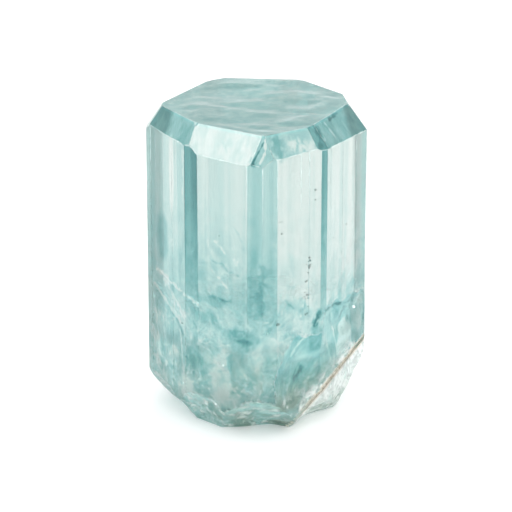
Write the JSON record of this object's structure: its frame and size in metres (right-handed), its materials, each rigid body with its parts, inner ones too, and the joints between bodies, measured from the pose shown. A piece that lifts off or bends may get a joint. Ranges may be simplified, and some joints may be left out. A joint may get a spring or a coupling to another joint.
{
  "type": "aquamarine crystal",
  "caption": "Stout, clear blue-green beryl crystal: a striated prism with a bevelled flat end, broken off at its foot, standing upright.",
  "frame": {"origin": "centre of the crystal's box, on the surface that its foot rests on", "axes": "+Z along the crystal's long axis, from the broken foot to the bevelled end; the broken lower right corner faces between +X and -Y"},
  "size_m": [0.0318, 0.029, 0.0464],
  "materials": {
    "aquamarine": "clear pale blue-green beryl, polished natural faces with fine lengthwise striae, glossy shell-like breaks at the foot"
  },
  "bodies": {
    "root": {"aquamarine_crystal": "aquamarine"}
  },
  "joints": []
}
